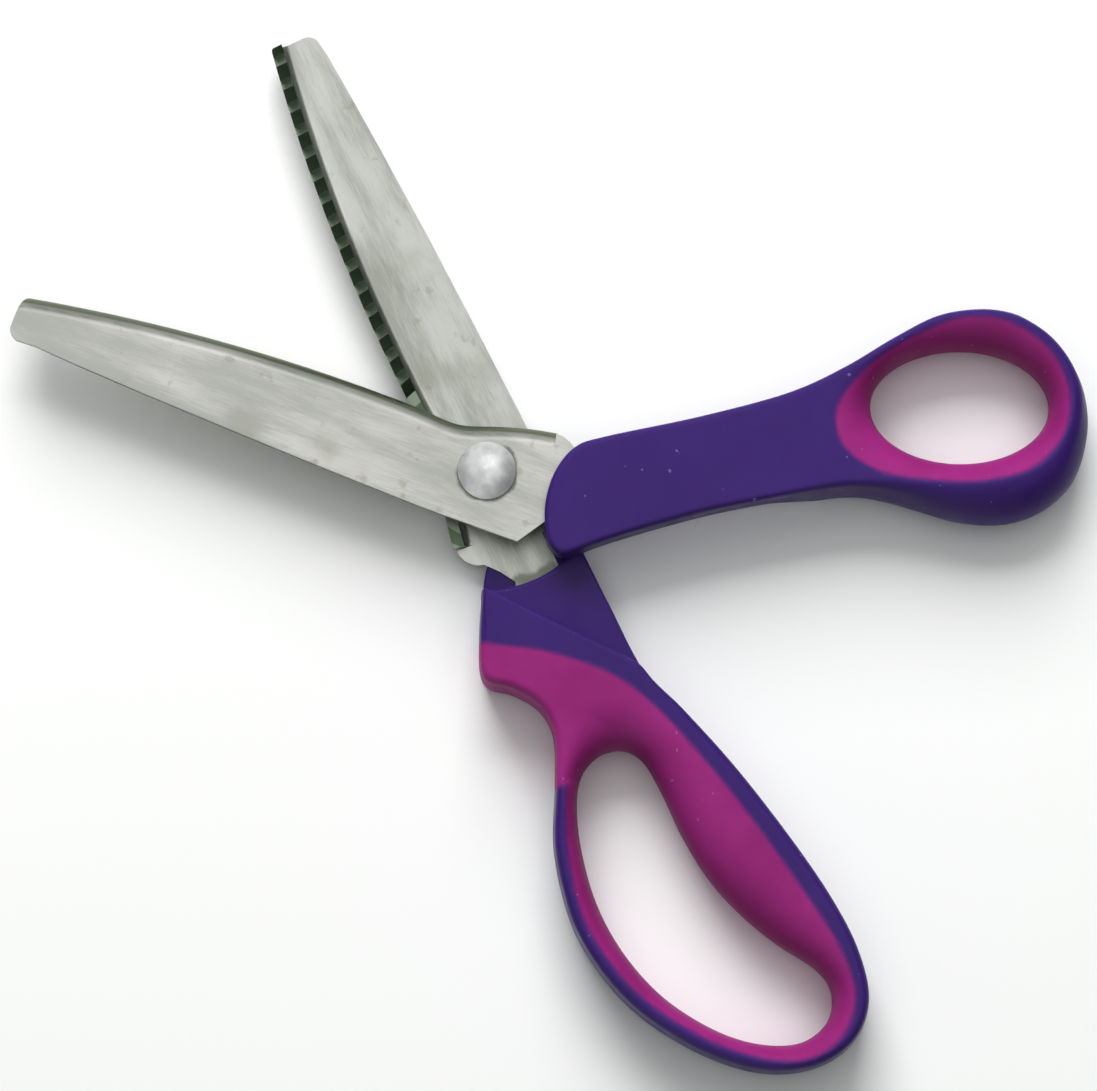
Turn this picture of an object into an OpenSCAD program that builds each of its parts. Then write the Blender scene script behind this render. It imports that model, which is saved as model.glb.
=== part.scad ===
// Pinking shears: two stamped blades with toothed flanges, a screw pivot, and two loop handles
// with soft linings. The fixed half is the lower blade with the finger handle, and the moving
// half is the upper blade with the thumb handle. Each half is drawn as it lies when the shears
// are shut, with the lower blade's line of cut along +X, and the moving half is then opened
// about the pivot axis, which is Z. The shears lie on the plane z = 0.

/* [Pose] */
// Angle by which the moving half is opened from its stop, in degrees
open_angle = 44.2; // [0:0.1:74]
// Angle by which the tips pass each other before the handles stop the shears
overclose_angle = 1.2; // [0.8:0.1:1.6]

/* [Blades] */
// Distance from the pivot axis to the blade tips
blade_reach = 98; // [96:0.5:100]
// Thickness of the blade sheet
sheet_t = 1.8; // [1.6:0.1:2]
// Outer radius of the bend between a blade's plate and its flange
bend_r = 2.5; // [2.3:0.1:2.8]
// Distance between the two plates, inner face to inner face
plate_gap = 6.4; // [6:0.1:6.8]
// Radius of the long arc that the cutting edge follows
edge_r = 411; // [400:1:430]
// Radius of the short arc that carries the flange past the pivot
heel_r = 30; // [28:0.5:34]

/* [Teeth] */
// Spacing of the teeth, measured outward from the pivot
tooth_pitch = 4.88; // [4.8:0.02:5]
// Height of a tooth from valley to crest
tooth_h = 2.3; // [1.8:0.1:2.6]
// Radius of the lower blade's innermost crest
first_crest_r = 25; // [24:0.5:26]
// Gap between the meshed teeth, measured along the pivot axis
tooth_gap = 0.2; // [0.1:0.05:0.3]

/* [Pivot] */
// Diameter of the screw's domed head
head_d = 11.6; // [10:0.1:13]
// Height of the screw's domed head
head_h = 2.6; // [2:0.1:2.9]
// Diameter of the shoulder that the upper blade turns on
shoulder_d = 7; // [6:0.1:8]
// Diameter of the screw's threaded end
thread_d = 5; // [4:0.1:5.5]
// Width of the nut across its flats
nut_af = 9; // [8:0.1:10]
// Outer diameter of the spring washer over the nut
spring_washer_d = 10.6; // [9:0.1:11]
// Outer diameter of the spacer bush between the plates
bush_d = 11; // [10:0.1:12]
// Height of the straight edge round the domed head
head_edge = 0.5; // [0.3:0.1:0.8]
// Thickness of each thrust washer
washer_t = 0.5; // [0.3:0.05:0.6]
// Radial clearance where the pivot pieces run on the screw
run_gap = 0.05; // [0.02:0.01:0.1]

/* [Handles] */
// Overall thickness of both handles
handle_t = 16; // [15.8:0.1:17]
// Height of the recessed tongue that the thumb shank closes over
tongue_t = 7.7; // [7.5:0.1:7.8]
// Distance of the closing stop from the pivot axis
stop_d = 21.3; // [21.2:0.1:21.8]
// Radius about the pivot at which the recessed tongue ends
tongue_r = 22.9; // [22.6:0.1:24]
// Radius about the pivot at which the ledge under the lower blade ends
ledge_r = 17; // [16:0.5:18]
// Width of the soft lining left in front of the core's buried web
lining_t = 2.2; // [1.8:0.1:2.6]
// Thickness of the core's buried web
web_t = 5; // [4:0.5:6]
// Half length and half width of the thumb opening
thumb_opening_size = [17.8, 11.5];
// Half length and half width of the thumb loop at its upper and lower rims
thumb_rim_size = [22.6, 17.8];
// Half width of the thumb loop at mid height
thumb_bulge = 20.6; // [20:0.1:21]

/* [Hidden] */

mid_z = handle_t / 2;
plate_z = mid_z - plate_gap / 2 - sheet_t;     // outer face of the lower plate
play = 0.05;                                    // axial play of the moving plate
floor_z = plate_z + sheet_t;                    // inner face of the lower plate
roof_z = handle_t - floor_z - play;             // top of the stack between the plates
washer_d = bush_d + 0.6;
nut_t = plate_z - washer_t;
stop_gap = 0.3;                                 // left between shank and stop when shut
stop_turn = 37.5;                               // direction of the stop line
edge_mid = [15.5, 7.94];                        // where the cutting edge runs along X
edge_c = edge_mid - [0, edge_r];
edge_bend_x = 8;                                // where the long arc hands over to the short one
edge_turn = asin((edge_bend_x - edge_mid[0]) / edge_r);
edge_join = edge_c + edge_r * [sin(edge_turn), cos(edge_turn)];
heel_c = edge_join + heel_r * [sin(edge_turn), cos(edge_turn)];
heel_end_turn = 34;
flange_top = mid_z + tooth_h;                   // trimmed to the teeth afterwards
reach_max = blade_reach + 12;
section_reach = bend_r + 2.3;                   // width of plate drawn with the flange
plate_inset = section_reach - 0.6;              // where the rest of the plate starts
rim_t = 0.5;                                    // height of the thumb loop's upright rims
belly_t = 4;                                    // height of the thumb loop's widest band
round_fn = 96;
long_fn = 360;                                  // for arcs of large radius
big = 160;                                      // past every outline
steel = "#b8b8b0";
brass = "#b08d4a";
nylon = "#d8d4c8";
core_purple = "#3e286e";
grip_magenta = "#96307a";

// Curves

function spline_point(a, b, c, d, t) =
    0.5 * (2 * b + (c - a) * t + (2 * a - 5 * b + 4 * c - d) * t * t
        + (3 * b - a - 3 * c + d) * t * t * t);

function closed_curve(p, steps = 5) =
    let (n = len(p))
    [for (i = [0:n - 1], s = [0:steps - 1])
        spline_point(p[(i + n - 1) % n], p[i], p[(i + 1) % n], p[(i + 2) % n], s / steps)];

function open_curve(p, steps = 5) =
    let (n = len(p) - 1)
    concat(
        [for (i = [0:n - 1], s = [0:steps - 1])
            spline_point(p[max(i - 1, 0)], p[i], p[i + 1], p[min(i + 2, n)], s / steps)],
        [p[n]]);

function arc(c, r, from, to, steps = 8) =
    [for (i = [0:steps]) let (t = from + (to - from) * i / steps) c + r * [cos(t), sin(t)]];

function ellipse(c, size, turn, steps = 64) =
    [for (i = [0:steps - 1])
        let (t = 360 * i / steps, p = [size[0] * cos(t), size[1] * sin(t)])
        c + [p[0] * cos(turn) - p[1] * sin(turn), p[0] * sin(turn) + p[1] * cos(turn)]];

// Each point moved straight away from a centre
function spread(p, c, d) = [for (q = p) q + d * (q - c) / norm(q - c)];

module slab(z0, z1) translate([0, 0, z0]) linear_extrude(z1 - z0) children();

// Everything on the pivot's far side of a straight line that lies d from the pivot axis
module beyond_stop(d)
    rotate(stop_turn) translate([-big, d]) square([2 * big, 2 * big]);

// Blades

// Section through flange, bend and plate, with the flange's outer face at x = r. The plate
// runs towards smaller x for side -1 and towards larger x for side 1.
module l_section(r, side) translate([r, plate_z]) scale_side(side) {
    translate([bend_r, 0]) square([section_reach - bend_r, sheet_t]);
    translate([0, bend_r]) square([sheet_t, flange_top - plate_z - bend_r]);
    intersection() {
        translate([bend_r, bend_r]) difference() {
            circle(bend_r, $fn = round_fn);
            circle(bend_r - sheet_t, $fn = round_fn);
        }
        square(bend_r);
    }
}

module scale_side(side) if (side > 0) children(); else mirror([1, 0]) children();

// Flange along the long arc, then along the short arc beside the pivot
module flange() {
    tip_turn = asin((reach_max - edge_mid[0]) / edge_r);
    translate([edge_c[0], edge_c[1], 0]) rotate(90 - tip_turn)
        rotate_extrude(angle = tip_turn - edge_turn, $fn = long_fn) l_section(edge_r, -1);
    translate([heel_c[0], heel_c[1], 0]) rotate(-90 - heel_end_turn)
        rotate_extrude(angle = heel_end_turn - edge_turn, $fn = long_fn) l_section(heel_r, 1);
}

// Flat of the blade, from inside the bend to the straight back edge, with its heel
function plate_points() = concat(
    [for (x = [reach_max:-8:edge_bend_x]) let (t = asin((x - edge_mid[0]) / edge_r))
        edge_c + (edge_r - plate_inset) * [sin(t), cos(t)]],
    [for (t = [4:10:heel_end_turn]) heel_c - (heel_r + plate_inset) * [sin(t), cos(t)]],
    [[-15, 5], [-15, -5], [-10.2, -11.3], [reach_max, -7.9]]);

// Trims the tip to a blunt end with one rounded corner
function tip_points() =
    concat(
        [[-2 * big, big], [blade_reach + 0.4, big], [blade_reach + 0.6, -0.5]],
        arc([blade_reach - 1, -5.9], 2.5, 10, -85),
        [[-2 * big, -big]]);

// Zigzag rings round the pivot axis. Every flank is a cone, so meshed teeth slide freely.
module tooth_cutter(crest_r) {
    low = mid_z - tooth_gap / 2 - tooth_h / 2;
    crests = floor((reach_max - crest_r) / tooth_pitch);
    rotate_extrude($fn = long_fn) polygon(concat(
        [[0, low]],
        [for (i = [0:crests], s = [-0.5, 0])
            [crest_r + (i + s) * tooth_pitch, s < 0 ? low : low + tooth_h]],
        [[reach_max + tooth_pitch, flange_top + 1], [0, flange_top + 1]]));
}

// A whole blade, lying plate down with its cutting edge on the +Y side
module blade(crest_r, bore_d) difference() {
    intersection() {
        union() {
            flange();
            slab(plate_z, floor_z) polygon(plate_points());
            slab(plate_z, floor_z) children();
        }
        slab(0, handle_t) polygon(tip_points());
    }
    tooth_cutter(crest_r);
    translate([0, 0, -1]) cylinder(h = handle_t, d = bore_d, $fn = round_fn);
}

module rear_tang() polygon(concat(
    [[-8, 8], [-11.1, 9.6], [-10.2, 12.1]],
    arc([-10.6, 7], 5.1, 90, 165),
    [[-18.2, 6.1], [-21.3, 4.3], [-26, 6], [-46, 7.5], [-51, 5], [-51, -1], [-47, -4],
     [-20, -5], [-9, -9]]));

// Drawn in the shut position, like the handle that holds it
module front_tang() polygon(
    [[-8, 10], [-14, 5.5], [-20, 2], [-44, -15.5], [-51, -24], [-46, -27.5], [-40, -24.5],
     [-18, -11.5], [-15, -10.4], [-12.6, -11.7], [-10.5, -11.9], [-11.3, -9.4], [-6, -8]]);

module rear_blade() color(steel) blade(first_crest_r, thread_d + 2 * run_gap) rear_tang();

// The upper blade is the lower one turned over, with its teeth half a pitch further in
module front_blade() color(steel) opened()
    rotate(-overclose_angle) turned_over()
        blade(first_crest_r - tooth_pitch / 2, shoulder_d + 2 * run_gap)
            mirror([0, 1]) rotate(overclose_angle) front_tang();

module turned_over() translate([0, 0, handle_t]) rotate([180, 0, 0]) children();

module opened() rotate(open_angle) children();

// Pivot

module ring(z0, z1, outer_d, inner_d) rotate_extrude($fn = round_fn)
    translate([inner_d / 2, z0]) square([(outer_d - inner_d) / 2, z1 - z0]);

// Domed head, bearing shoulder and threaded end in one turned piece
module pivot_screw() color(steel) rotate_extrude($fn = round_fn) {
    head_z = handle_t - plate_z + play;
    dome_h = head_h - head_edge;
    dome_r = (pow(head_d / 2, 2) + pow(dome_h, 2)) / (2 * dome_h);
    square([thread_d / 2, floor_z]);
    translate([0, floor_z]) square([shoulder_d / 2, head_z - floor_z]);
    translate([0, head_z]) square([head_d / 2, head_edge]);
    intersection() {
        translate([0, head_z + head_h - dome_r]) circle(dome_r, $fn = round_fn);
        translate([0, head_z + head_edge]) square([head_d / 2, head_h]);
    }
}

module spacer_bush() color(brass)
    ring(floor_z + washer_t, roof_z - washer_t, bush_d, shoulder_d + 2 * run_gap);

module lower_washer() color(nylon)
    ring(floor_z, floor_z + washer_t, washer_d, shoulder_d + 2 * run_gap);

module upper_washer() color(nylon)
    ring(roof_z - washer_t, roof_z, washer_d, shoulder_d + 2 * run_gap);

module spring_washer() color(steel)
    ring(nut_t, plate_z, spring_washer_d, thread_d + 2 * run_gap);

module pivot_nut() color(steel) difference() {
    cylinder(h = nut_t, d = nut_af / cos(30), $fn = 6);
    translate([0, 0, -1]) cylinder(h = nut_t + 2, d = thread_d, $fn = round_fn);
}

// Finger handle

finger_outline = closed_curve([
    [-49, -10.4], [-60, -13.4], [-74, -16.6], [-90, -19.3], [-105, -21.7], [-117, -22.8],
    [-127, -20.8], [-133, -14.2], [-133.8, -4.5], [-129, 5.6], [-119.5, 15.2], [-106, 22.2],
    [-90, 24.8], [-74, 21.4], [-62, 15.5], [-53, 11.3], [-46.5, 11.4], [-41.4, 14.8],
    [-38.3, 18.3], [-35.4, 18.7], [-30, 16.3], [-24, 13], [-16, 8.2], [-13, 2], [-13, -6],
    [-17.5, -10.3], [-22, -10.3], [-34, -10.1]]);

finger_opening_c = [-95, 1];
finger_opening = closed_curve([
    [-60.2, 5], [-61.3, 0.5], [-65, -2.2], [-72, -2.9], [-82, -2.9], [-92, -4], [-101, -7],
    [-109, -10.5], [-116.5, -14.7], [-122, -15.4], [-126.8, -12], [-128.2, -5.5],
    [-125, 2.2], [-118, 8.6], [-108, 14.4], [-97, 17.8], [-86, 18.5], [-75, 16.4],
    [-66.5, 13], [-62, 9.6]]);

// Line where the soft grip meets the hard rim, closed far outside the open side of the rim
finger_grip_area = concat(
    open_curve([
        [-31, 19], [-33, 12.5], [-36.5, 6], [-42, 0.4], [-49, -4.6], [-58, -8], [-69, -11],
        [-82, -14.2], [-94, -16.6], [-105, -18.9], [-116, -20.2], [-124.8, -18.2],
        [-130.3, -12.2], [-131, -4.2], [-126.6, 5], [-117.5, 13.6], [-105, 20], [-90, 22.5],
        [-76, 19.3], [-63, 13.4]]),
    [[-62, 30], [-31, 30]]);

module finger_section() difference() {
    intersection() {
        polygon(finger_outline);
        beyond_stop(stop_d);
    }
    polygon(finger_opening);
}

// The core's web lies buried in the grip, short of the opening and of the rim's open side
module finger_web() difference() {
    intersection() {
        finger_section();
        polygon(finger_grip_area);
        translate([0.5, -2]) polygon(finger_outline);
    }
    polygon(spread(finger_opening, finger_opening_c, lining_t));
}

module finger_grip() color(grip_magenta) difference() {
    slab(0, handle_t) intersection() {
        finger_section();
        polygon(finger_grip_area);
    }
    slab(mid_z - web_t / 2, mid_z + web_t / 2) finger_web();
    slab(plate_z, floor_z) rear_tang();
}

// Full-height rim and stop, the tongue under the thumb shank, and the ledge under the blade
module finger_handle() color(core_purple) difference() {
    union() {
        slab(0, handle_t) difference() {
            finger_section();
            polygon(finger_grip_area);
        }
        slab(mid_z - web_t / 2, mid_z + web_t / 2) finger_web();
        slab(0, tongue_t) difference() {
            polygon(finger_outline);
            beyond_stop(stop_d);
            circle(tongue_r, $fn = round_fn);
        }
        slab(0, floor_z) difference() {
            polygon(finger_outline);
            beyond_stop(stop_d);
            circle(ledge_r, $fn = round_fn);
        }
    }
    slab(plate_z, floor_z) {
        rear_tang();
        polygon(plate_points());
    }
}

// Thumb handle, drawn in the shut position

thumb_shank = closed_curve([
    [-14.8, -10.4], [-12.5, -4.2], [-13.8, 2], [-16.8, 7.6], [-20.2, 10.6], [-26, 6.1],
    [-34, -0.1], [-42, -6.3], [-51.6, -12.2], [-61.4, -17.2], [-70, -20.8], [-80, -26],
    [-84, -42], [-72, -56], [-67.6, -51.2], [-60.5, -42.7], [-51.4, -34.3], [-36.2, -24.4],
    [-20, -14.4]]);

ring_turn = 19.6;
thumb_opening_c = [-84.1, -44.3];
thumb_rim_c = [-84.4, -44.8];
thumb_bulge_c = [-90, -42.8];
thumb_opening = ellipse(thumb_opening_c, thumb_opening_size, ring_turn);

thumb_grip_area = closed_curve([
    [-61, -33.5], [-61.8, -39.5], [-65.6, -47], [-71.8, -54.8], [-79.4, -60.6], [-88, -62.4],
    [-97, -59.6], [-103.2, -53], [-104.6, -45], [-100.8, -37], [-93, -31], [-83.5, -27.4],
    [-73.5, -25.8], [-65.4, -28.2]]);

// The loop is widest at mid height and draws in to its upper and lower rims
module thumb_loop() hull() {
    slab(handle_t - rim_t, handle_t) polygon(ellipse(thumb_rim_c, thumb_rim_size, ring_turn));
    slab(mid_z - belly_t / 2, mid_z + belly_t / 2)
        polygon(ellipse(thumb_bulge_c, [thumb_bulge, thumb_bulge], 0));
    slab(0, rim_t) polygon(ellipse(thumb_rim_c, thumb_rim_size, ring_turn));
}

module thumb_body() difference() {
    union() {
        slab(mid_z + stop_gap, handle_t) polygon(thumb_shank);
        thumb_loop();
    }
    slab(-1, handle_t + 1) polygon(thumb_opening);
}

module thumb_web() slab(mid_z - web_t / 2, mid_z + web_t / 2) difference() {
    polygon(thumb_grip_area);
    polygon(spread(thumb_opening, thumb_opening_c, lining_t));
}

// The soft lining's share of the loop, all but the core's web
module thumb_lining() difference() {
    slab(-1, handle_t + 1) polygon(thumb_grip_area);
    thumb_web();
}

module thumb_grip() color(grip_magenta) opened() intersection() {
    thumb_body();
    thumb_lining();
}

module thumb_handle() color(core_purple) opened() difference() {
    thumb_body();
    thumb_lining();
    slab(handle_t - floor_z, handle_t - plate_z) {
        front_tang();
        rotate(-overclose_angle) mirror([0, 1]) polygon(plate_points());
    }
}

rear_blade();
finger_handle();
finger_grip();
pivot_screw();
spacer_bush();
lower_washer();
upper_washer();
spring_washer();
pivot_nut();
front_blade();
thumb_handle();
thumb_grip();
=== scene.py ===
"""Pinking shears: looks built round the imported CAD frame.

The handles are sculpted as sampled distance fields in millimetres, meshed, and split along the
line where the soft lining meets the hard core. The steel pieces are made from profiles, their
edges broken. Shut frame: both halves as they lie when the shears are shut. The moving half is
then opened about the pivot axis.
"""

import itertools
import math

import bmesh
import bpy
import numpy as np
import openvdb
from mathutils import Matrix, Vector


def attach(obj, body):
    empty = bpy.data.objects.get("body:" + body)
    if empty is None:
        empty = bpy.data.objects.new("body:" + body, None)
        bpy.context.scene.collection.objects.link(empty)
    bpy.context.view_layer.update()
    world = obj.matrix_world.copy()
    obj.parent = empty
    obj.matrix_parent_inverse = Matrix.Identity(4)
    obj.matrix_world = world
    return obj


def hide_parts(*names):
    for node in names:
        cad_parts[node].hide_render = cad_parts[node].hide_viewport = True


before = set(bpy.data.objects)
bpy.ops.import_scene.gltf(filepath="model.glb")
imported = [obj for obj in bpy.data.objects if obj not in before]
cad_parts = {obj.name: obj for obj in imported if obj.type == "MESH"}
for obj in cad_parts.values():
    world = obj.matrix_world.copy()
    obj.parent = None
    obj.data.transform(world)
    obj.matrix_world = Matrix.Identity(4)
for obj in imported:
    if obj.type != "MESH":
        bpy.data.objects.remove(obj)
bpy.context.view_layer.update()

MM = 0.001
OPEN_ANGLE = 44.2          # rest pose, measured from shut
OVERCLOSE_ANGLE = 1.2      # the front blade's turn past its handle's line when shut
HEIGHT = 16.0              # both handles
MID_Z = HEIGHT / 2
PLATE_Z = 3.0              # outer face of the rear plate
FLOOR_Z = 4.8              # inner face of the rear plate
ROOF_Z = 11.2              # inner face of the front plate
STEP = 0.36                # spacing of the sampled fields

# ---------------------------------------------------------------- curves and distances


def spline(points, steps=8, closed=True):
    """Catmull-Rom curve through the points."""
    p = np.array(points, float)
    n = len(p)
    t = np.linspace(0, 1, steps, endpoint=False)[:, None]
    curve = []
    for i in range(n if closed else n - 1):
        if closed:
            a, b, c, d = (p[(i + k) % n] for k in (-1, 0, 1, 2))
        else:
            a, b, c, d = (p[min(max(i + k, 0), n - 1)] for k in (-1, 0, 1, 2))
        curve.append(0.5 * (2 * b + (c - a) * t + (2 * a - 5 * b + 4 * c - d) * t ** 2
                            + (3 * b - a - 3 * c + d) * t ** 3))
    if not closed:
        curve.append(p[-1:])
    return np.vstack(curve)


def ellipse(centre, size, turn, steps=96):
    t = np.linspace(0, 2 * math.pi, steps, endpoint=False)
    local = np.stack([size[0] * np.cos(t), size[1] * np.sin(t)], 1)
    c, s = math.cos(math.radians(turn)), math.sin(math.radians(turn))
    return np.array(centre) + local @ np.array([[c, s], [-s, c]])


def distance(polygon, x, y):
    """Signed distance to a closed polygon, negative inside."""
    nearest = np.full(x.shape, 1e9)
    inside = np.zeros(x.shape, bool)
    for (ax, ay), (bx, by) in zip(polygon, np.roll(polygon, -1, axis=0)):
        ex, ey = bx - ax, by - ay
        px, py = x - ax, y - ay
        t = np.clip((px * ex + py * ey) / max(ex * ex + ey * ey, 1e-12), 0, 1)
        nearest = np.minimum(nearest, (px - t * ex) ** 2 + (py - t * ey) ** 2)
        if ay != by:
            inside ^= ((ay > y) != (by > y)) & (x < ax + (y - ay) * ex / ey)
    return np.where(inside, -1, 1) * np.sqrt(nearest)


def smooth_step(low, high, value):
    t = np.clip((value - low) / (high - low), 0, 1)
    return t * t * (3 - 2 * t)


def both(a, b, radius):
    """Intersection of two fields, its edge rounded."""
    corner = np.sqrt(np.maximum(radius + a, 0) ** 2 + np.maximum(radius + b, 0) ** 2)
    return np.minimum(-radius, np.maximum(a, b)) + corner


def either(a, b, radius):
    """Union of two fields, its inner corner filled."""
    corner = np.sqrt(np.maximum(radius - a, 0) ** 2 + np.maximum(radius - b, 0) ** 2)
    return np.maximum(radius, np.minimum(a, b)) - corner


# ---------------------------------------------------------------- meshes


def new_object(name, points, faces):
    """Mesh object from points in millimetres."""
    mesh = bpy.data.meshes.new(name)
    mesh.from_pydata([tuple(p) for p in np.asarray(points) * MM], [], faces)
    obj = bpy.data.objects.new(name, mesh)
    bpy.context.scene.collection.objects.link(obj)
    return obj


def face_outward(obj):
    bm = bmesh.new()
    bm.from_mesh(obj.data)
    bmesh.ops.recalc_face_normals(bm, faces=bm.faces)
    if bm.calc_volume(signed=True) < 0:
        bmesh.ops.reverse_faces(bm, faces=bm.faces)
    bm.to_mesh(obj.data)
    bm.free()


def prism(name, outline, low, high):
    n = len(outline)
    points = [(x, y, z) for z in (low, high) for x, y in outline]
    sides = [(i, (i + 1) % n, n + (i + 1) % n, n + i) for i in range(n)]
    obj = new_object(name, points, [tuple(range(n))[::-1], tuple(range(n, 2 * n))] + sides)
    face_outward(obj)
    return obj


def boolean(obj, other, operation, keep=False):
    """Changes obj's mesh by another closed object, which is then removed."""
    cut = obj.modifiers.new("cut", "BOOLEAN")
    cut.operation, cut.solver, cut.object = operation, "MANIFOLD", other
    bpy.context.view_layer.update()
    made = bpy.data.meshes.new_from_object(obj.evaluated_get(bpy.context.evaluated_depsgraph_get()))
    obj.modifiers.remove(cut)
    obj.data = made
    if not keep:
        bpy.data.objects.remove(other)
    return obj


def sampled(low, high):
    """Grid of points over a box, as three arrays and the box's low corner."""
    axes = [np.arange(a, b + STEP, STEP) for a, b in zip(low, high)]
    return np.meshgrid(*axes, indexing="ij"), np.array(low, float)


def skin(name, field, low):
    """Closed mesh where a sampled field is zero."""
    grid = openvdb.FloatGrid()
    grid.copyFromArray(np.ascontiguousarray(field, np.float32))
    points, triangles, quads = grid.convertToPolygons(0.0, 0.0)
    faces = [tuple(map(int, f)) for f in itertools.chain(triangles, quads)]
    obj = new_object(name, low + points * STEP, faces)
    face_outward(obj)
    return obj


def read_field(values, low, points):
    """Values of a sampled field, or of its gradient, between its samples."""
    cell = (points - low) / STEP
    base = np.clip(np.floor(cell).astype(int), 0, np.array(values.shape[:3]) - 2)
    part = cell - base
    total = np.zeros((len(points), values.shape[3]))
    for corner in itertools.product((0, 1), repeat=3):
        weight = np.prod(np.where(corner, part, 1 - part), axis=1)
        i, j, k = (base + corner).T
        total += weight[:, None] * values[i, j, k]
    return total


def shade_from_field(obj, field, low):
    """Smooth normals along the field's surface, and flat ones on the faces that cut through it."""
    slope = np.stack(np.gradient(field, STEP), axis=-1)
    mesh = obj.data
    count = len(mesh.vertices)
    co = np.empty(count * 3, np.float32)
    mesh.vertices.foreach_get("co", co)
    normal = read_field(slope, low, co.reshape(-1, 3) / MM)
    normal /= np.maximum(np.linalg.norm(normal, axis=1, keepdims=True), 1e-9)
    corner_vertex = np.empty(len(mesh.loops), np.int32)
    mesh.loops.foreach_get("vertex_index", corner_vertex)
    sizes = np.empty(len(mesh.polygons), np.int32)
    mesh.polygons.foreach_get("loop_total", sizes)
    flat = np.empty(len(mesh.polygons) * 3, np.float32)
    mesh.polygons.foreach_get("normal", flat)
    flat = np.repeat(flat.reshape(-1, 3), sizes, axis=0)
    smooth = normal[corner_vertex]
    on_surface = (smooth * flat).sum(1) > 0.75
    mesh.polygons.foreach_set("use_smooth", np.ones(len(mesh.polygons), bool))
    mesh.normals_split_custom_set(np.where(on_surface[:, None], smooth, flat))


def mark_distance(obj, curve, name):
    """Stores each vertex's distance to a flat curve, in millimetres, negative inside."""
    co = np.empty(len(obj.data.vertices) * 3, np.float32)
    obj.data.vertices.foreach_get("co", co)
    x, y, _ = co.reshape(-1, 3).T / MM
    attribute = obj.data.attributes.new(name, "FLOAT", "POINT")
    attribute.data.foreach_set("value", distance(curve, x, y).astype(np.float32))


def turn(obj, angle):
    """Turns a mesh about the pivot axis, with its normals."""
    mesh = obj.data
    normals = [c.vector.copy() for c in mesh.corner_normals]
    spin = Matrix.Rotation(math.radians(angle), 4, "Z")
    mesh.transform(spin)
    mesh.normals_split_custom_set([spin.to_3x3() @ n for n in normals])


def split_handle(field, low, boundary, pockets, core_name, grip_name):
    """Core and grip from one field, parted by an upright wall along the boundary."""
    core = skin(core_name, field, low)
    for vertex in core.data.vertices:
        vertex.co.z = min(max(vertex.co.z, 0.0), HEIGHT * MM)
    for z0, z1, outline in pockets:
        boolean(core, prism("pocket", outline, z0, z1), "DIFFERENCE")
    wall = prism("wall", boundary, -1, HEIGHT + 1)
    grip = bpy.data.objects.new(grip_name, core.data.copy())
    bpy.context.scene.collection.objects.link(grip)
    boolean(grip, wall, "INTERSECT", keep=True)
    boolean(core, wall, "DIFFERENCE")
    for obj in (core, grip):
        shade_from_field(obj, field, low)
        mark_distance(obj, boundary, "seam")
    return core, grip


# ---------------------------------------------------------------- finger handle

STOP_TURN = 37.5           # direction of the closing stop
STOP_D = 21.3              # distance of the stop from the pivot axis
TONGUE_R, TONGUE_Z = 22.9, 7.7     # tongue under the thumb shank: nearest to the axis, and top
LEDGE_R, LEDGE_Z = 17.0, 4.3       # ledge under the rear tang, likewise
DRAFT = 0.5                # how far the outer wall leans in towards both faces
FINGER_BOX = ((-135.2, -24.2, -1.0), (-12.4, 26.2, HEIGHT + 1))

finger_outline = spline([
    (-49, -10.6), (-59.8, -14), (-73.7, -17.9), (-89.7, -21.2), (-104.8, -23.4), (-117, -23.6),
    (-127.1, -20.9), (-133, -14.2), (-133.7, -4.5), (-129, 5.6), (-119.2, 14.8),
    (-105.9, 22), (-90, 24.7), (-74, 21.6), (-62, 15.6), (-53, 11.5), (-46.6, 11.7),
    (-41.5, 14.9), (-38.4, 18.5), (-35.3, 18.9), (-29.9, 16.5), (-23.9, 13.2), (-16, 8.2),
    (-13, 2), (-13, -6), (-17.5, -10.3), (-22, -10.3), (-34, -10.3)])

finger_opening = spline([
    (-60.3, 5), (-61.3, 0.5), (-65, -2.2), (-72, -2.8), (-82, -2.6), (-92.1, -3.6),
    (-101.2, -6.3), (-109.2, -10), (-116.6, -14.4), (-122, -15.2), (-126.8, -12),
    (-128.2, -5.5), (-124.8, 2), (-118.2, 8.8), (-108.2, 14.8), (-97, 17.9), (-86, 18.3),
    (-75, 16.2), (-66.5, 12.9), (-62.1, 9.5)])

finger_boundary = np.vstack([
    spline([
        (-28.6, 21), (-30.2, 16.8), (-33, 12.5), (-37.1, 6.4), (-42.2, 0.6), (-48.8, -5),
        (-57.6, -9.2), (-68.6, -12.4), (-81.7, -15.4), (-93.8, -17.5), (-105, -19.2),
        (-116, -20.2), (-125, -18.6), (-131, -12.6), (-131.7, -4.1), (-126.3, 4.8),
        (-117, 13), (-104.8, 19.5), (-90, 22.2), (-76, 19.4), (-63, 13.5)], closed=False),
    [(-62, 30), (-28, 30)]])

# Plate of the lower blade past the end of its flange, round to the straight back edge
TANG_POINTS = 16           # how many of these points are the tang's
rear_tail = [
    (-10.62, 12.0), (-11.9, 11.9), (-13.2, 11.4), (-14.4, 10.4), (-15.2, 9.2), (-15.5, 8.3),
    (-18.2, 6.1), (-21.3, 4.3), (-26, 6), (-46, 7.5), (-51, 5), (-51, -1), (-47, -4),
    (-20, -5), (-14.8, -4.9), (-10.2, -11.6), (10, -11.5), (30, -11.2), (50, -10.8),
    (70, -10.1), (85, -9.4), (92, -9)]


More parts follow.
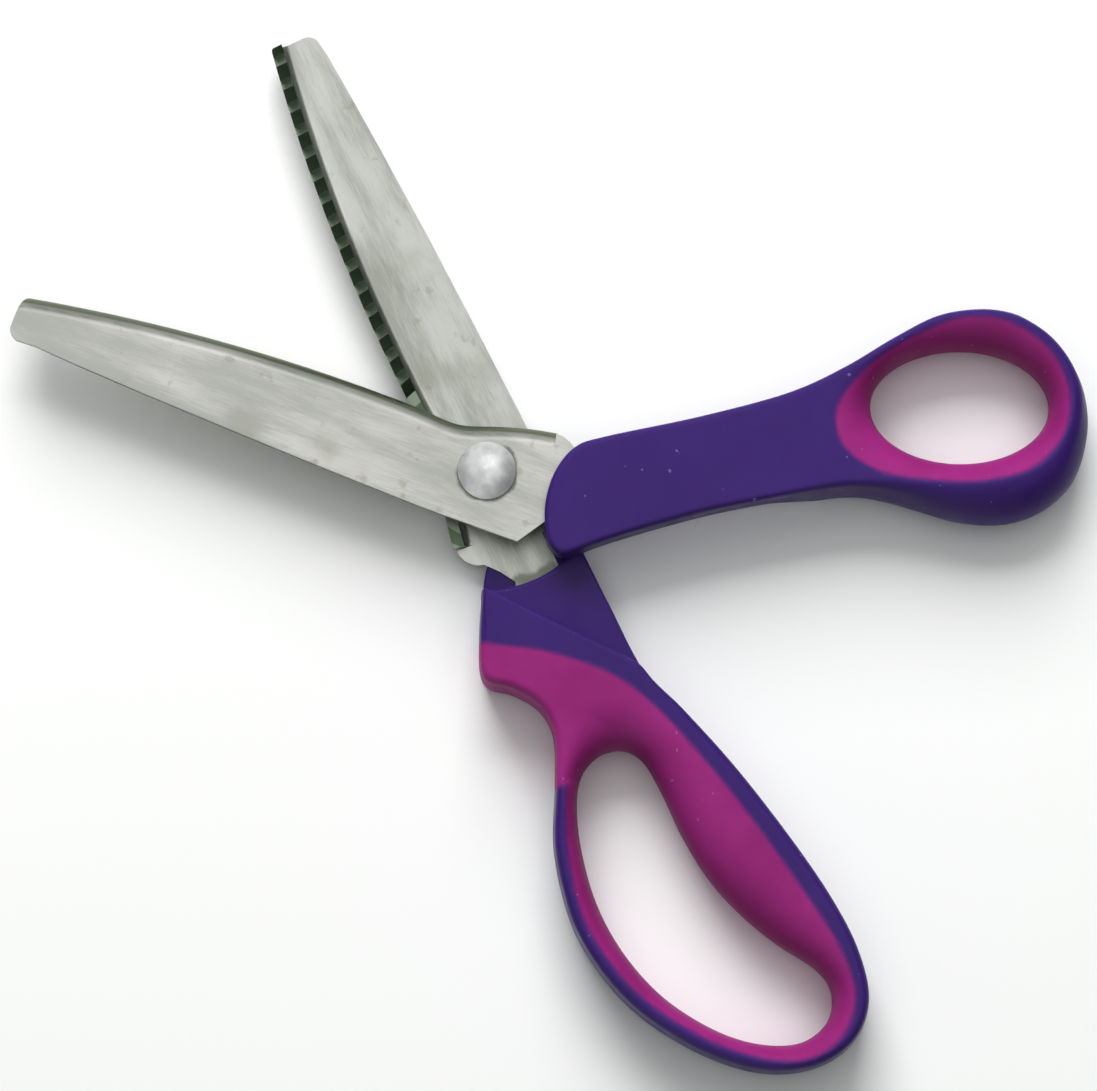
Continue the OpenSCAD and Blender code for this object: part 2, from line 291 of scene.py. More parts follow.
def rounded_opening(from_opening, slope_w, z, power=2.0):
    """Lining surface: level away from the opening, and rounded into it over slope_w."""
    inward = np.maximum(1 - from_opening / slope_w, 0)
    field = inward ** power + np.abs((z - MID_Z) / MID_Z) ** 2.2 - 1
    slope = np.sqrt(sum(g ** 2 for g in np.gradient(field, STEP)))
    return field / np.maximum(slope, 0.02)


def finger_field():
    (x, y, z), low = sampled(*FINGER_BOX)
    flat_x, flat_y = x[:, :, 0], y[:, :, 0]
    outline = distance(finger_outline, flat_x, flat_y)
    opening = distance(finger_opening, flat_x, flat_y)
    lining = distance(finger_boundary, flat_x, flat_y)
    angle = math.radians(STOP_TURN + 90)
    stop = STOP_D - (flat_x * math.cos(angle) + flat_y * math.sin(angle))
    radius = np.hypot(flat_x, flat_y)

    width = np.maximum(opening, 0) + np.maximum(-outline, 0)
    slope_w = np.minimum(opening - lining + 0.8, np.minimum(0.55 * width + 1.2, 9.5))
    slope_w = np.maximum(slope_w, 1.5)
    grown = lambda flat: np.broadcast_to(flat[:, :, None], x.shape)
    draft = DRAFT * ((z - MID_Z) / MID_Z) ** 2
    side = both(grown(outline) + draft, grown(stop), 0.7)
    edge = 0.5 + 0.9 * smooth_step(1, 7, grown(-stop))
    full = both(side, rounded_opening(grown(opening), grown(slope_w), z), edge)

    under = np.abs(z - TONGUE_Z / 2) - TONGUE_Z / 2
    behind = grown(-stop) - 1.5
    tongue_side = np.maximum(grown(outline), np.maximum(behind, grown(TONGUE_R - radius)))
    tongue = both(tongue_side, under, 0.45)
    low_side = np.maximum(grown(outline) + 0.2, np.maximum(behind, grown(LEDGE_R - radius)))
    ledge = both(low_side, np.abs(z - LEDGE_Z / 2) - LEDGE_Z / 2, 0.4)
    return either(either(full, tongue, 0.3), ledge, 0.3), low


def make_finger_handle():
    field, low = finger_field()
    tang = [(-8, 8)] + rear_tail[:TANG_POINTS]
    return split_handle(field, low, finger_boundary, [(PLATE_Z, FLOOR_Z, tang)],
                        "finger_core", "finger_lining")


# ---------------------------------------------------------------- thumb handle

SHANK_Z = MID_Z + 0.3      # underside of the thumb shank
THUMB_BOX = ((-112.4, -66.4, -1.0), (-10.6, 12.4, HEIGHT + 1))

shank_nose = [
    (-14.9, -10.1), (-12.8, -4.1), (-13.1, 2.3), (-15.1, 7.9), (-16.9, 10.2), (-19.6, 11),
    (-22.6, 9.1), (-26, 6.2)]

# The loop's side is fullest at half height (belly) and drawn in at both faces (rim)
thumb_rim = spline(shank_nose + [
    (-32.6, 1.2), (-42.7, -5.9), (-51.8, -11.5), (-63.2, -18.2), (-69.4, -21.3),
    (-76.2, -23.6), (-82.9, -25.4), (-89.5, -27.4), (-96.1, -30.3), (-102.1, -34.5),
    (-105.6, -39.4), (-106.6, -44.8), (-106.4, -49.4), (-105.2, -54.2), (-102, -58.8),
    (-97.6, -62.2), (-92.7, -64), (-87.2, -64.6), (-80.9, -63.1), (-73.8, -59.1),
    (-67.2, -52.1), (-59.9, -43.2), (-51, -34.5), (-36.2, -24.2), (-20, -14.2)])

thumb_belly = spline(shank_nose + [
    (-32.6, 1.2), (-42.7, -5.9), (-51.8, -11.5), (-63.2, -17.9), (-70, -20.7),
    (-76.7, -21.7), (-83.4, -22), (-90.3, -22.3), (-97.2, -23.9), (-102.3, -26.4),
    (-106.6, -30.4), (-109.6, -35.6), (-110.5, -40.4), (-110.2, -45.4), (-108.9, -50.6),
    (-106, -55.8), (-102, -59.6), (-97, -62.6), (-92.3, -64.2), (-87.2, -64.7),
    (-80.9, -63.1), (-73.8, -59.1), (-67.2, -52.1), (-59.9, -43.2), (-51, -34.5),
    (-36.2, -24.2), (-20, -14.2)])

thumb_opening = ellipse((-84.1, -44.3), (17.8, 11.5), 19.6)

thumb_boundary = spline([
    (-61.3, -33.6), (-62, -39.4), (-65.6, -47), (-71.9, -54.7), (-79.4, -60.7), (-88, -62.6),
    (-97.2, -59.9), (-103.5, -53.2), (-105.1, -44.9), (-101.6, -36.5), (-93.2, -30.7),
    (-83.5, -27.4), (-73.5, -25.6), (-65.1, -27.8)])

# Plate of the upper blade past the end of its flange, round to the straight back edge
front_tail = [
    (-10.4, -11.7), (-11.9, -11.6), (-13.5, -11), (-14.9, -10.1), (-18, -11.6), (-40, -24.5),
    (-46, -27.5), (-51, -24), (-44, -15.5), (-20, 2), (-14.9, 4.7), (-10.4, 11.3)]
front_back = [(10, -11.3), (30, -10.9), (50, -10.3), (70, -9.6), (85, -8.9), (93, -8.35)]


def thumb_field():
    (x, y, z), low = sampled(*THUMB_BOX)
    flat_x, flat_y = x[:, :, 0], y[:, :, 0]
    rim = distance(thumb_rim, flat_x, flat_y)
    belly = distance(thumb_belly, flat_x, flat_y)
    opening = distance(thumb_opening, flat_x, flat_y)
    lining = distance(thumb_boundary, flat_x, flat_y)
    grown = lambda flat: np.broadcast_to(flat[:, :, None], x.shape)
    swell = 1 - np.abs((z - MID_Z) / MID_Z) ** 2.4
    side = grown(rim) * (1 - swell) + grown(belly) * swell
    slope_w = np.maximum(opening - lining + 1.3, 2.0)
    edge = 1.1 + 0.5 * smooth_step(-60, -90, grown(flat_x))
    loop = both(side, rounded_opening(grown(opening), grown(slope_w), z, 1.8), edge)
    underside = SHANK_Z * (1 - smooth_step(-53, -66, flat_x)) - 0.6 * smooth_step(-60, -66, flat_x)
    return both(loop, grown(underside) - z, 0.7), low


def make_thumb_handle():
    field, low = thumb_field()
    tang = [(-8, -8)] + front_tail
    core, grip = split_handle(field, low, thumb_boundary, [(ROOF_Z, HEIGHT - PLATE_Z, tang)],
                              "thumb_core", "thumb_lining")
    for obj in (core, grip):
        turn(obj, OPEN_ANGLE)
    return core, grip


# ---------------------------------------------------------------- steel pieces


EDGE_R, EDGE_X, EDGE_Y = 390.0, 25.0, 7.6    # long arc of the cutting edge, and its crown
BEND = 3.4                 # outer radius of the blade sheet's bend
WALL, TOE = 2.3, 4.0       # thickness of the flange, and where its inner fillet ends
PITCH, TOOTH_H, TOOTH_GAP = 4.88, 2.3, 0.2
LOWER_CREST, UPPER_CREST = 25.0, 22.56       # innermost crests, as distances from the pivot
ARC_END = 19.0             # distance from the pivot at which the long arc ends
LOWER_TIP, UPPER_TIP = 97.3, 99.0            # distance of each blunt end from the pivot
BACK_CORNER_R, BACK_CORNER_Y = 2.5, -6.1     # rounded corner between blunt end and back edge
BREAK = 0.13               # width of the broken edges
BEND_STEPS = 9

heel_curve = spline([
    (17.3, 7.48), (14.8, 7.33), (12.7, 7.18), (10.4, 7.1), (8.3, 7.3), (6.2, 7.85),
    (1.4, 9.55), (-3.4, 11.05), (-7, 11.9), (-10.2, 12.5)], 3, closed=False)


def arc_y(x, inset):
    """Height of the long arc, moved in by inset, at distance x along the blade."""
    return EDGE_Y - EDGE_R + math.sqrt((EDGE_R - inset) ** 2 - (x - EDGE_X) ** 2)


def arc_at_radius(radius, inset):
    x = radius
    for _ in range(12):
        x = math.sqrt(radius ** 2 - arc_y(x, inset) ** 2)
    return x, arc_y(x, inset)


def tooth_top(x, y, crest_r):
    """Height of the toothed edge, which is a zigzag in the distance from the pivot."""
    phase = (math.hypot(x, y) - crest_r) / PITCH
    low_z = MID_Z - (TOOTH_GAP + TOOTH_H) / 2
    if phase < -0.5:
        return low_z
    return low_z + TOOTH_H * abs(1 - 2 * (phase % 1.0))


def section(place, top, shift=0.0):
    """Points round the fold at one station, where place gives the point at an inset."""
    points = []
    for b in np.radians(np.linspace(0, 90, BEND_STEPS)):
        inset = shift + (BEND - shift) * (1 - math.sin(b))
        points.append((*place(inset), PLATE_Z + BEND * (1 - math.cos(b))))
    for inset in (shift, WALL):
        x, y = place(inset)
        points.append((x, y, top(x, y)))
    fillet_h = PLATE_Z + BEND - FLOOR_Z
    for b in np.radians(np.linspace(90, 0, BEND_STEPS)):
        inset = TOE - (TOE - WALL) * math.sin(b)
        points.append((*place(inset), FLOOR_Z + fillet_h * (1 - math.cos(b))))
    return points


def make_blade(name, crest_r, tail, bore_r, tip_x, tip_round):
    """Folded sheet with a toothed flange, lying plate down with its cutting edge on +Y."""
    top = lambda x, y: tooth_top(x, y, crest_r)
    rows = []
    for back in (0.0, 0.13 * tip_round, 0.45 * tip_round, tip_round):     # rounded outer corner
        shift = tip_round - math.sqrt(tip_round ** 2 - (tip_round - back) ** 2)
        x = tip_x - back
        rows.append(section(lambda inset: (x, arc_y(x, inset)), top, shift))
    last = math.hypot(*rows[-1][BEND_STEPS][:2]) - 0.5
    quarters = [crest_r + k * PITCH / 4 for k in range(79, -41, -1)]
    for radius in [r for r in quarters if ARC_END < r < last]:
        rows.append(section(lambda inset: arc_at_radius(radius, inset), top))
    along = np.gradient(heel_curve, axis=0)
    along /= np.linalg.norm(along, axis=1, keepdims=True)
    for (x, y), (dx, dy) in zip(heel_curve, along):
        rows.append(section(lambda inset: (x - inset * dy, y + inset * dx), top))

    corner = arc_points((tip_x - BACK_CORNER_R, BACK_CORNER_Y), BACK_CORNER_R, -80, 0, 8)
    outline = tail + corner
    width, length = len(rows[0]), len(rows)
    points = [p for row in rows for p in row]
    first = len(points)
    points += [(x, y, PLATE_Z) for x, y in outline] + [(x, y, FLOOR_Z) for x, y in outline]
    count = len(outline)
    at = lambda i, j: i * width + j
    faces = [(at(i, j), at(i, j + 1), at(i + 1, j + 1), at(i + 1, j))
             for i in range(length - 1) for j in range(width - 1)]
    under = [at(i, 0) for i in range(length)] + [first + k for k in range(count)]
    over = [at(i, width - 1) for i in range(length)] + [first + count + k for k in range(count)]
    faces += [tuple(under), tuple(over[::-1])]
    rim = len(under)
    faces += [(under[k], over[k], over[(k + 1) % rim], under[(k + 1) % rim])
              for k in range(length - 1, rim)]
    faces += [tuple(at(0, j) for j in range(width)),
              tuple(at(length - 1, j) for j in range(width))[::-1]]
    obj = new_object(name, points, faces)
    bm = bmesh.new()
    bm.from_mesh(obj.data)
    bmesh.ops.recalc_face_normals(bm, faces=bm.faces)
    edges = [e for e in bm.edges if e.is_manifold and e.calc_face_angle() > math.radians(26)]
    bmesh.ops.bevel(bm, geom=edges, offset=BREAK * MM, offset_type="OFFSET", segments=2,
                    profile=0.5, affect="EDGES", clamp_overlap=True, loop_slide=True)
    bm.to_mesh(obj.data)
    bm.free()
    face_outward(obj)
    boolean(obj, prism("bore", arc_points((0, 0), bore_r, 0, 357, 120), 0, HEIGHT), "DIFFERENCE")
    return obj


def smooth_by_area(obj):
    obj.data.shade_smooth()
    weighted = obj.modifiers.new("normals", "WEIGHTED_NORMAL")
    weighted.weight = 90
    return obj


def make_lower_blade():
    return smooth_by_area(make_blade("lower_blade", LOWER_CREST, rear_tail, 2.55, LOWER_TIP, 0.5))


def make_upper_blade():
    """The lower blade's form turned over, with its teeth half a pitch further in."""
    c, s = math.cos(math.radians(OVERCLOSE_ANGLE)), math.sin(math.radians(OVERCLOSE_ANGLE))
    tail = [(c * x - s * y, -(s * x + c * y)) for x, y in front_tail]
    obj = make_blade("upper_blade", UPPER_CREST, tail + front_back, 3.55, UPPER_TIP, 1.1)
    obj.data.transform(Matrix.Rotation(math.radians(OPEN_ANGLE - OVERCLOSE_ANGLE), 4, "Z")
                       @ Matrix.Translation((0, 0, HEIGHT * MM)) @ Matrix.Rotation(math.pi, 4, "X"))
    return smooth_by_area(obj)


def turned(name, profile, steps=128):
    """Closed solid of revolution about the pivot axis, from (radius, height) points."""
    bm = bmesh.new()
    verts = [bm.verts.new((r * MM, 0, z * MM)) for r, z in profile]
    edges = [bm.edges.new((verts[i], verts[(i + 1) % len(verts)])) for i in range(len(verts))]
    bmesh.ops.spin(bm, geom=verts + edges, axis=(0, 0, 1), cent=(0, 0, 0),
                   steps=steps, angle=2 * math.pi, use_duplicate=False)
    bmesh.ops.remove_doubles(bm, verts=bm.verts, dist=1e-6)
    bmesh.ops.dissolve_degenerate(bm, edges=bm.edges, dist=1e-7)
    axis_edges = [e for e in bm.edges if all(math.hypot(*v.co[:2]) < 1e-7 for v in e.verts)]
    bmesh.ops.delete(bm, geom=axis_edges, context="EDGES")
    bmesh.ops.recalc_face_normals(bm, faces=bm.faces)
    mesh = bpy.data.meshes.new(name)
    bm.to_mesh(mesh)
    bm.free()
    mesh.shade_smooth()
    mesh.set_sharp_from_angle(angle=math.radians(35))
    obj = bpy.data.objects.new(name, mesh)
    bpy.context.scene.collection.objects.link(obj)
    return obj


def rounded_ring(name, z0, z1, outer_r, inner_r, edge):
    """Washer or bush with all four edges broken."""
    corners = [(inner_r, z0, 1, 1), (outer_r, z0, -1, 1),
               (outer_r, z1, -1, -1), (inner_r, z1, 1, -1)]
    profile = []
    for i, (r, z, dr, dz) in enumerate(corners):
        near_r, near_z = (r + dr * edge, z), (r, z + dz * edge)
        profile += [near_z, near_r] if i % 2 == 0 else [near_r, near_z]
    return turned(name, profile, 96)


def arc_points(centre, radius, start, end, steps):
    return [(centre[0] + radius * math.cos(math.radians(a)),
             centre[1] + radius * math.sin(math.radians(a)))
            for a in np.linspace(start, end, steps)]


def make_screw():
    """Domed head with a rolled lower edge, bearing shoulder and threaded end."""
    head_z, head_r, head_h, edge = 13.05, 5.8, 2.6, 0.55
    dome_h = head_h - edge
    dome_r = (head_r ** 2 + dome_h ** 2) / (2 * dome_h)
    reach = math.degrees(math.asin((head_r - 0.35) / dome_r))
    dome = arc_points((0, head_z + head_h - dome_r), dome_r, 90 - reach, 90, 14)
    roll = arc_points((head_r - 0.3, head_z + edge - 0.1), 0.3, 0, 60, 4)
    thread = []
    pitch, crest, root = 0.5, 2.48, 2.2
    z = 0.15
    while z + pitch < 2.9:
        thread += [(root, z), (crest, z + pitch / 2)]
        z += pitch
    profile = [(0, 0), (2.0, 0)] + thread + [
        (2.4, z), (2.4, FLOOR_Z), (3.4, FLOOR_Z), (3.5, FLOOR_Z + 0.1), (3.5, head_z),
        (head_r - 0.25, head_z), (head_r, head_z + 0.25)]
    return turned("screw", profile + roll + dome)


def make_nut():
    """Hexagon nut with its corners turned down on both faces."""
    flats, thick, bore = 9.0, 2.5, 2.5
    corner = flats / math.sqrt(3)
    hexagon = [(corner * math.cos(math.radians(60 * i)), corner * math.sin(math.radians(60 * i)))
               for i in range(6)]
    nut = prism("nut", hexagon, 0, thick)
    cone = turned("cone", [(0, 0), (flats / 2 - 0.1, 0), (corner + 0.1, 0.55),
                           (corner + 0.1, thick - 0.55), (flats / 2 - 0.1, thick), (0, thick)])
    boolean(nut, cone, "INTERSECT")
    hole = turned("hole", [(0, -1), (bore + 1.3, -1), (bore, 0.35), (bore, thick - 0.35),
                           (bore + 1.3, thick + 1), (0, thick + 1)])
    boolean(nut, hole, "DIFFERENCE")
    nut.data.shade_smooth()
    nut.data.set_sharp_from_angle(angle=math.radians(20))
    return nut


# ---------------------------------------------------------------- materials


class Nodes:
    """A material's node tree, built one call at a time."""

    def __init__(self, name):
        self.material = bpy.data.materials.new(name)
        self.material.use_nodes = True
        self.tree = self.material.node_tree
        self.shader = self.tree.nodes["Principled BSDF"]

    def add(self, kind, settings=None, **inputs):
        """New node. An input is named, or i0, i1 and so on where names repeat."""
        node = self.tree.nodes.new("ShaderNode" + kind)
        for key, value in (settings or {}).items():
            setattr(node, key, value)
        for key, value in inputs.items():
            numbered = key[0] == "i" and key[1:].isdigit()
            socket = node.inputs[int(key[1:]) if numbered else key]
            if isinstance(value, bpy.types.NodeSocket):
                self.tree.links.new(value, socket)
            else:
                socket.default_value = value
        return node

    def place(self, turned_by=0.0, scale=(1, 1, 1)):
        """Position on the object at rest, in metres, turned about Z and stretched."""
        spot = self.add("TexCoord").outputs["Object"]
        spun = self.add("VectorRotate", {"rotation_type": "Z_AXIS"}, Vector=spot,
                        Angle=math.radians(turned_by))
        return self.add("Mapping", i0=spun.outputs[0], Scale=scale).outputs[0]

    def noise(self, place, scale, detail=4.0, roughness=0.55):
        return self.add("TexNoise", Vector=place, Scale=scale, Detail=detail,
                        Roughness=roughness).outputs["Fac"]

    def band(self, value, low, high, out_low=0.0, out_high=1.0):
        """Smooth change from out_low to out_high, as the value goes from low to high."""
        node = self.add("MapRange", {"interpolation_type": "SMOOTHSTEP"}, Value=value)
        node.inputs["From Min"].default_value = low
        node.inputs["From Max"].default_value = high
        node.inputs["To Min"].default_value = out_low
        node.inputs["To Max"].default_value = out_high
        return node.outputs[0]

    def mix(self, factor, a, b):
        node = self.add("Mix", {"data_type": "RGBA"})
        for index, value in ((0, factor), (6, a), (7, b)):
            if isinstance(value, bpy.types.NodeSocket):
                self.tree.links.new(value, node.inputs[index])
            else:
                node.inputs[index].default_value = value if index == 0 else (*value, 1)
        return node.outputs[2]

    def math(self, operation, a, b):
        return self.add("Math", {"operation": operation}, i0=a, i1=b).outputs[0]

    def attribute(self, name):
        return self.add("Attribute", {"attribute_name": name}).outputs["Fac"]

    def bump(self, height, strength, distance_mm, under=None):
        node = self.add("Bump", Height=height, Strength=strength, Distance=distance_mm * MM)
        if under is not None:
            self.tree.links.new(under, node.inputs["Normal"])
        return node.outputs[0]

    def link(self, socket, name):
        self.tree.links.new(socket, self.shader.inputs[name])


PURPLE = (0.036, 0.010, 0.142)
PURPLE_DEEP = (0.032, 0.009, 0.128)
MAGENTA = (0.300, 0.017, 0.182)
MAGENTA_DEEP = (0.255, 0.012, 0.150)
SEAM = (0.12, 0.012, 0.150)


def plastic_material(name, main, deep, side, rough, grain):
    """Moulded plastic or soft rubber. The colour runs into the seam colour at the joint line."""
    n = Nodes(name)
    place = n.place()
    cloud = n.band(n.noise(place, 55, 3), 0.35, 0.65)
    body = n.mix(cloud, main, deep)
    wave = n.math("MULTIPLY", n.math("SUBTRACT", n.noise(place, 420, 2), 0.5), 0.7)
    from_seam = n.math("ADD", n.math("MULTIPLY", n.attribute("seam"), side), wave)
    colour = n.mix(n.band(from_seam, -0.25, 0.75), SEAM, body)
    colour = n.mix(n.band(n.noise(place, 640, 1), 0.765, 0.79, 0, 0.3), colour, (0.34, 0.28, 0.48))
    n.link(colour, "Base Color")
    n.link(n.band(n.noise(place, 160, 4), 0.3, 0.7, rough - 0.05, rough + 0.07), "Roughness")
    fine = n.bump(n.noise(place, 5200, 2), grain, 0.05)
    n.link(n.bump(n.noise(place, 240, 3), 0.12, 0.25, fine), "Normal")
    n.shader.inputs["IOR"].default_value = 1.47
    n.shader.inputs["Specular IOR Level"].default_value = 0.22
    return n.material


def steel_material(name, turned_by, light, dark, rough, fold, lip, crest_r, dirt_and_shade_at):
    """Brushed stainless: fine streaks along the blade, cloudy patches and faint spots. The fold and
    flange carry painted shade, which on the upper blade is a painted dark reflection, and so do the
    teeth's flanks that face the pivot, each from one height to another. The last argument places
    grime with painted shade: from one distance from the pivot to the other, frayed by a spread, and
    below a limit in X."""
    n = Nodes(name)
    along = n.place(turned_by, (1, 14, 14))
    plain = n.place(turned_by)
    streak = n.noise(along, 240, 5, 0.7)
    broad = n.noise(n.place(turned_by, (1, 5, 5)), 28, 3)
    cloud = n.noise(plain, 70, 4)
    tone = n.math("ADD", n.math("MULTIPLY", streak, 0.35), n.math("MULTIPLY", broad, 0.65))
    colour = n.mix(n.band(tone, 0.40, 0.60), dark, light)
    patch = n.band(cloud, 0.56, 0.74, 0, 0.45)
    colour = n.mix(patch, colour, (0.33, 0.335, 0.28))
    spots = n.band(n.noise(plain, 240, 3), 0.62, 0.72, 0, 0.45)
    colour = n.mix(spots, colour, (0.27, 0.265, 0.2))

    spot = n.add("TexCoord").outputs["Object"]
    height = n.add("SeparateXYZ", Vector=spot).outputs[2]
    flat = n.add("Mapping", i0=spot, Scale=(1, 1, 0)).outputs[0]
    radius = n.add("VectorMath", {"operation": "LENGTH"}, i0=flat).outputs["Value"]
    # Grime and painted shade: darker from one distance from the pivot to the other, frayed, below a
    # limit in X
    near, far, spread, start = dirt_and_shade_at
    fray = n.math("MULTIPLY", n.math("SUBTRACT", n.noise(plain, 230, 5), 0.5), spread * MM)
    dirt_and_shade = n.band(n.math("ADD", radius, fray), near * MM, far * MM, 0, 0.8)
    side = n.add("SeparateXYZ", Vector=spot).outputs[0]
    dirt_and_shade = n.math("MULTIPLY", dirt_and_shade, n.band(side, start * MM, (start - 2) * MM))
    colour = n.mix(dirt_and_shade, colour, (0.12, 0.13, 0.10))
    # Painted shade over the fold and flange; on the upper blade it is a painted dark reflection
    colour = n.mix(n.band(height, fold[0] * MM, fold[1] * MM), colour, fold[2])
    # Painted shade on the teeth's flanks that face the pivot, above the lip height
    from_crest = n.math("SUBTRACT", radius, crest_r * MM)
    phase = n.math("FRACT", n.math("DIVIDE", from_crest, PITCH * MM), 0)
    shaded_flank = n.math("MULTIPLY", n.band(phase, 0.49, 0.51), n.band(phase, 1.0, 0.98))
    teeth = n.math("MULTIPLY", shaded_flank, n.band(height, lip[0] * MM, lip[1] * MM))
    colour = n.mix(n.math("MULTIPLY", teeth, 0.8), colour, (0.05, 0.085, 0.045))
    n.link(colour, "Base Color")
    n.link(n.band(streak, 0.3, 0.7, rough - 0.06, rough + 0.1), "Roughness")
    scratches = n.bump(n.noise(n.place(turned_by, (1, 40, 40)), 300, 3), 0.12, 0.02)
    n.link(n.bump(cloud, 0.05, 0.1, scratches), "Normal")
    n.shader.inputs["Metallic"].default_value = 1.0
    return n.material


def turned_metal(name, light, dark, rough, metallic=1.0):
    """Turned or pressed metal with small dents and dull patches."""
    n = Nodes(name)
    place = n.place()
    colour = n.mix(n.band(n.noise(place, 320, 5), 0.35, 0.65), dark, light)
    n.link(colour, "Base Color")
    n.link(n.band(n.noise(place, 500, 4), 0.3, 0.7, rough - 0.06, rough + 0.1), "Roughness")
    n.link(n.bump(n.noise(place, 1100, 3), 0.12, 0.03), "Normal")
    n.shader.inputs["Metallic"].default_value = metallic
    return n.material


def nylon_material(name):
    n = Nodes(name)
    place = n.place()
    n.link(n.mix(n.noise(place, 300, 3), (0.66, 0.63, 0.55), (0.78, 0.76, 0.70)), "Base Color")
    n.link(n.band(n.noise(place, 600, 3), 0.3, 0.7, 0.42, 0.58), "Roughness")
    n.link(n.bump(n.noise(place, 1500, 2), 0.1, 0.03), "Normal")
    return n.material


def paint(obj, material):
    obj.data.materials.clear()
    obj.data.materials.append(material)


# ---------------------------------------------------------------- the object


def add_piece(obj, body, material, node):
    paint(obj, material)
    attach(obj, body)
    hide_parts(node)


finger_core, finger_lining = make_finger_handle()
thumb_core, thumb_lining = make_thumb_handle()

core_finish = plastic_material("purple_plastic", PURPLE, PURPLE_DEEP, 1.0, 0.42, 0.10)
grip_finish = plastic_material("magenta_rubber", MAGENTA, MAGENTA_DEEP, -1.0, 0.60, 0.16)
# Lower blade: painted shade on the flange and the pivot-facing tooth flanks; grime with painted
# shade from the upper blade on the tang
rear_steel = steel_material("rear_steel", 0, (0.55, 0.56, 0.525), (0.33, 0.345, 0.305), 0.36,
                            (4.9, 6.5, (0.22, 0.27, 0.205)), (6.5, 6.7), LOWER_CREST,
                            (19.6, 22.4, 11, 0))
# Upper blade: painted dark reflection on the outer bend and flange, painted shade on the
# pivot-facing tooth flanks, and grime with a painted contact shadow in a part ring round the screw
# head
front_steel = steel_material("front_steel", -(OPEN_ANGLE - OVERCLOSE_ANGLE),
                             (0.62, 0.61, 0.58), (0.42, 0.43, 0.40), 0.38,
                             (12.75, 12.1, (0.14, 0.165, 0.11)), (9.5, 9.3), UPPER_CREST,
                             (6.6, 5.9, 2.4, 4))
screw_steel = turned_metal("screw_steel", (0.80, 0.81, 0.82), (0.60, 0.61, 0.61), 0.42, 0.72)
bush_brass = turned_metal("bush_brass", (0.60, 0.42, 0.16), (0.42, 0.28, 0.10), 0.32)
washer_nylon = nylon_material("washer_nylon")

add_piece(finger_core, "fixed_half", core_finish, "finger_handle")
add_piece(finger_lining, "fixed_half", grip_finish, "finger_grip")
add_piece(thumb_core, "moving_half", core_finish, "thumb_handle")
add_piece(thumb_lining, "moving_half", grip_finish, "thumb_grip")
add_piece(make_lower_blade(), "fixed_half", rear_steel, "rear_blade")
add_piece(make_upper_blade(), "moving_half", front_steel, "front_blade")
add_piece(make_screw(), "fixed_half", screw_steel, "pivot_screw")
add_piece(make_nut(), "fixed_half", screw_steel, "pivot_nut")

# Ring, CAD node, slot, material, then its lower and upper face, outer and inner radius, broken edge
rings = [
    ("spring_ring", "spring_washer", "screw_steel", screw_steel, 2.5, 3.0, 5.3, 2.55, 0.08),
    ("bush", "spacer_bush", "bush_brass", bush_brass, 5.3, 10.65, 5.5, 3.55, 0.2),
    ("lower_ring", "lower_washer", "washer_nylon", washer_nylon, 4.8, 5.3, 5.8, 3.55, 0.08),
    ("upper_ring", "upper_washer", "washer_nylon", washer_nylon, 10.65, 11.15, 5.8, 3.55, 0.08)]
for name, node, slot, material, *measures in rings:
    add_piece(rounded_ring(name, *measures), "fixed_half", material, node)

# ---------------------------------------------------------------- floor, camera and light

PHOTO_TURN = -116.2        # turn of the view's own frame about Z
CAMERA_TILT = 8.5
CAMERA_D = 1.0             # from the camera to the top of the blade at the pivot
PIXEL = 0.000198           # size of a pixel at that distance
IMAGE_W, IMAGE_H = 1097, 1091
PIVOT_OFFSET = (-61.5, 74.5)   # pivot from the image's middle, right and up, in pixels
KEY_PLACE = (-0.15, 1.26, 1.0)     # in the view's frame, as make_light takes it
FLOOR_SPAN, FLOOR_STEPS = 3.0, 12

view_turn = Matrix.Rotation(math.radians(PHOTO_TURN), 3, "Z")
tilt = math.radians(CAMERA_TILT)
look = view_turn @ Vector((0, math.sin(tilt), -math.cos(tilt)))
right = view_turn @ Vector((1, 0, 0))
up = view_turn @ Vector((0, math.cos(tilt), math.sin(tilt)))


def make_camera():
    data = bpy.data.cameras.new("camera")
    data.sensor_width = 36.0
    data.lens = CAMERA_D / PIXEL / IMAGE_W * data.sensor_width
    data.clip_start, data.clip_end = 0.05, 10.0
    camera = bpy.data.objects.new("camera", data)
    bpy.context.scene.collection.objects.link(camera)
    target = Vector((0, 0, (HEIGHT - PLATE_Z) * MM))
    place = (target - look * CAMERA_D - right * (PIVOT_OFFSET[0] * PIXEL)
             - up * (PIVOT_OFFSET[1] * PIXEL))
    axes = Matrix((right, up, -look)).transposed().to_4x4()
    camera.matrix_world = Matrix.Translation(place) @ axes
    bpy.context.scene.camera = camera


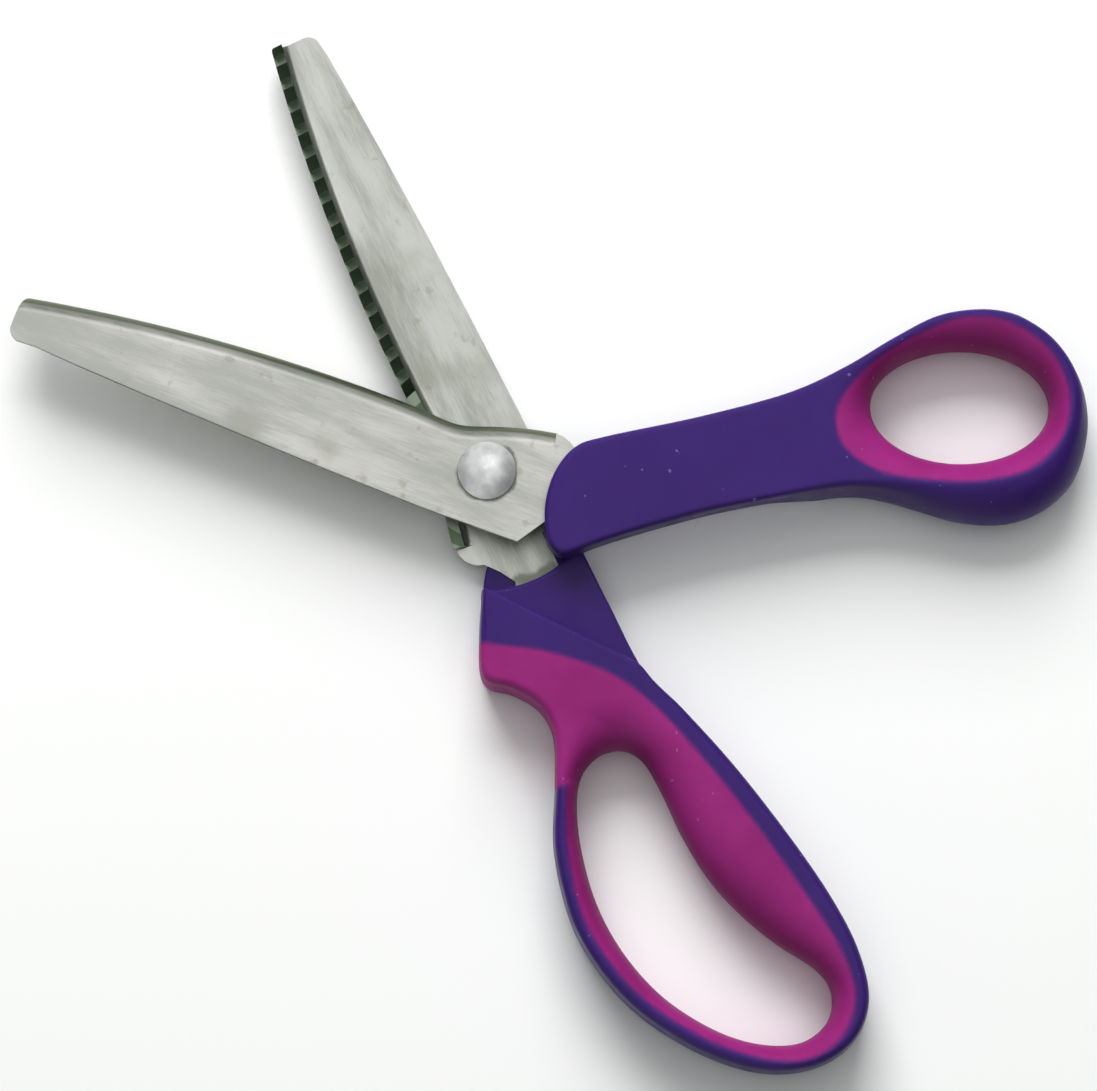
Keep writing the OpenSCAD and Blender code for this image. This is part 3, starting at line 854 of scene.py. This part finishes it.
def make_light(name, offset, size, power, diffuse=True, glossy=True):
    """Square soft light at an offset in the view's frame (right, up, height), in metres."""
    data = bpy.data.lights.new(name, "AREA")
    data.shape, data.size, data.energy = "SQUARE", size, power
    light = bpy.data.objects.new(name, data)
    bpy.context.scene.collection.objects.link(light)
    light.location = view_turn @ Vector(offset)
    light.rotation_euler = (-light.location).to_track_quat("-Z", "Y").to_euler()
    light.visible_diffuse, light.visible_glossy = diffuse, glossy


def make_floor():
    steps = FLOOR_STEPS
    line = np.linspace(-FLOOR_SPAN, FLOOR_SPAN, steps + 1)
    points = [(x / MM, y / MM, -0.02) for x in line for y in line]
    faces = [(i * (steps + 1) + j, (i + 1) * (steps + 1) + j,
              (i + 1) * (steps + 1) + j + 1, i * (steps + 1) + j + 1)
             for i in range(steps) for j in range(steps)]
    floor = new_object("floor", points, faces)
    n = Nodes("pale_floor")
    place = n.place()
    n.link(n.mix(n.noise(place, 3, 2), (0.94, 0.94, 0.94), (0.97, 0.97, 0.97)), "Base Color")
    n.shader.inputs["Roughness"].default_value = 0.9
    paint(floor, n.material)


def make_world():
    """Dim, faintly green surroundings for the light, and a pale backdrop past the floor."""
    world = bpy.data.worlds.new("studio")
    bpy.context.scene.world = world
    world.use_nodes = True
    nodes, links = world.node_tree.nodes, world.node_tree.links
    around = nodes["Background"]
    around.inputs["Color"].default_value = (0.90, 1.0, 0.88, 1)
    around.inputs["Strength"].default_value = 0.12
    backdrop = nodes.new("ShaderNodeBackground")
    backdrop.inputs["Color"].default_value = (0.80, 0.81, 0.80, 1)
    seen = nodes.new("ShaderNodeMixShader")
    links.new(nodes.new("ShaderNodeLightPath").outputs["Is Camera Ray"], seen.inputs[0])
    links.new(around.outputs[0], seen.inputs[1])
    links.new(backdrop.outputs[0], seen.inputs[2])
    links.new(seen.outputs[0], nodes["World Output"].inputs["Surface"])


make_camera()
make_floor()
make_world()
make_light("key", KEY_PLACE, 1.1, 31, glossy=False)
make_light("sheen", KEY_PLACE, 1.9, 13.0, diffuse=False)
make_light("overhead", (0.0, 0.2, 1.3), 1.8, 9.0)
make_light("far_sheen", (-0.5, -1.4, 0.75), 1.8, 7.0, diffuse=False)
bpy.context.scene.view_settings.view_transform = "Standard"
